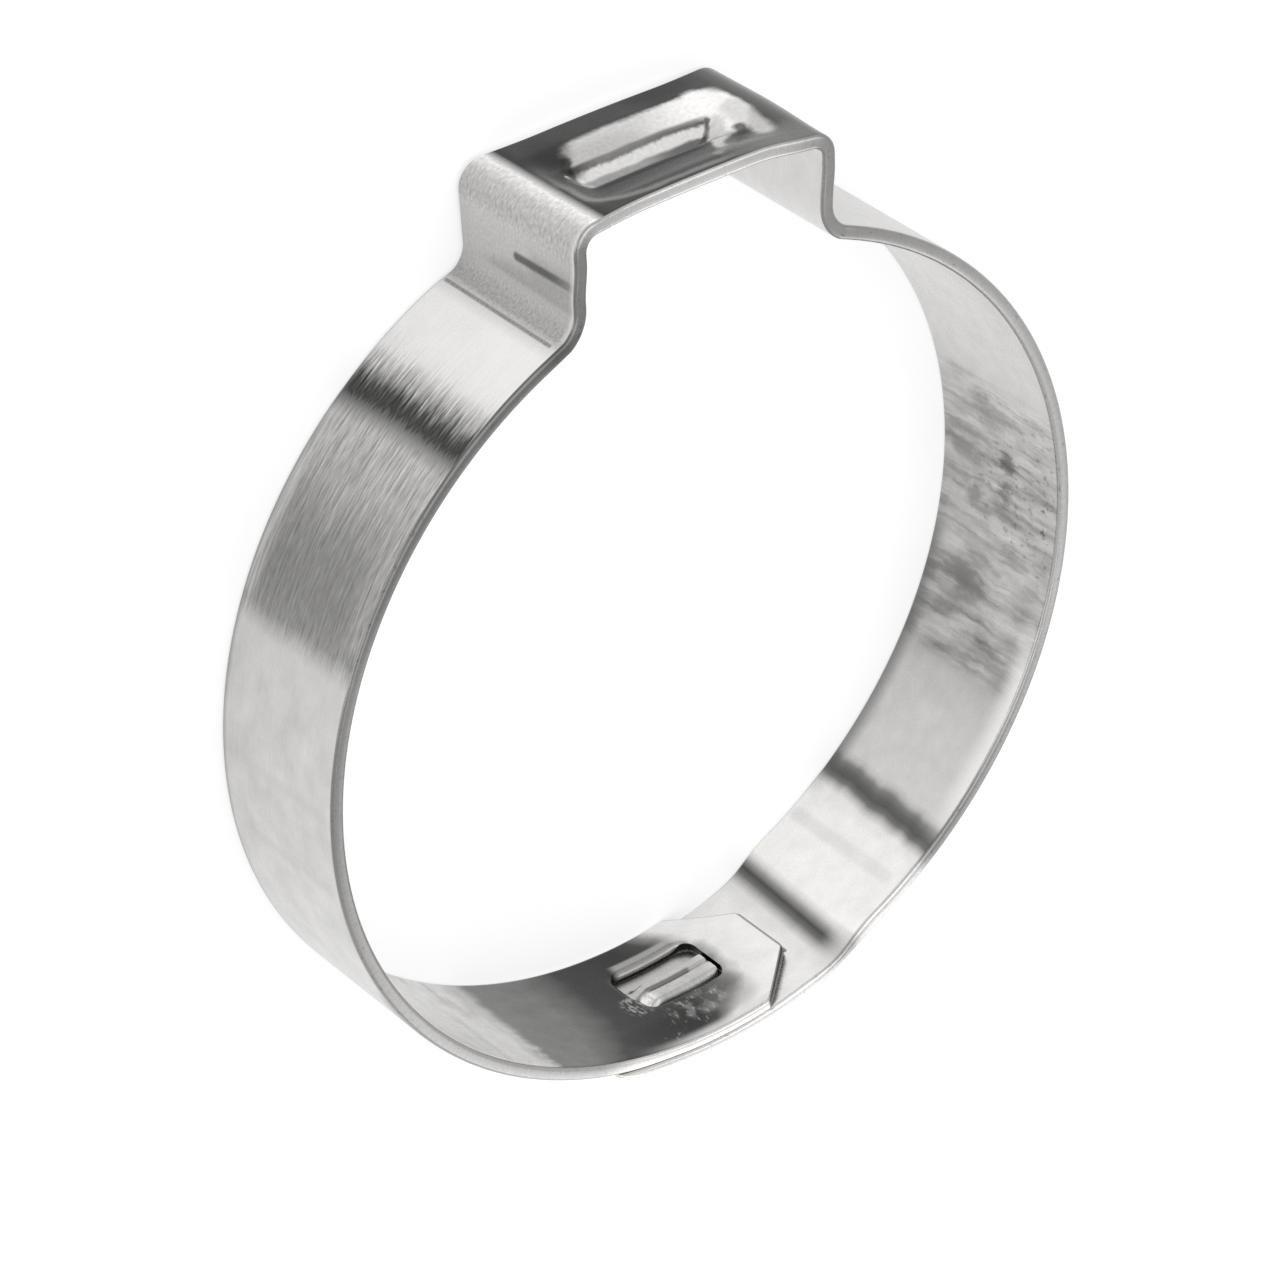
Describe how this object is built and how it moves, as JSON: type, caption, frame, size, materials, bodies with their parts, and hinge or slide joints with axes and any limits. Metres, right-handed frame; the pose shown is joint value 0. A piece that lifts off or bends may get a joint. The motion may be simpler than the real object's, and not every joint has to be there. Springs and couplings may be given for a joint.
{
  "type": "single-ear hose clamp",
  "caption": "Narrow sprung steel band rolled into a ring, its ends lapped and hooked together, with a raised square ear that is crimped to tighten it round a hose.",
  "frame": {"origin": "centre of the ring on its axis, midway across the strip's width", "axes": "+Z along the ring's axis, +Y from the axis through the middle of the ear, +X to the side that the outer end of the lap comes from"},
  "size_m": [0.0358, 0.0395, 0.007],
  "materials": {
    "stainless_strip": "mill-rolled stainless strip, semi-bright, with fine lengthwise grain and handling marks"
  },
  "bodies": {
    "root": {"clamp_band": "stainless_strip"}
  },
  "joints": []
}
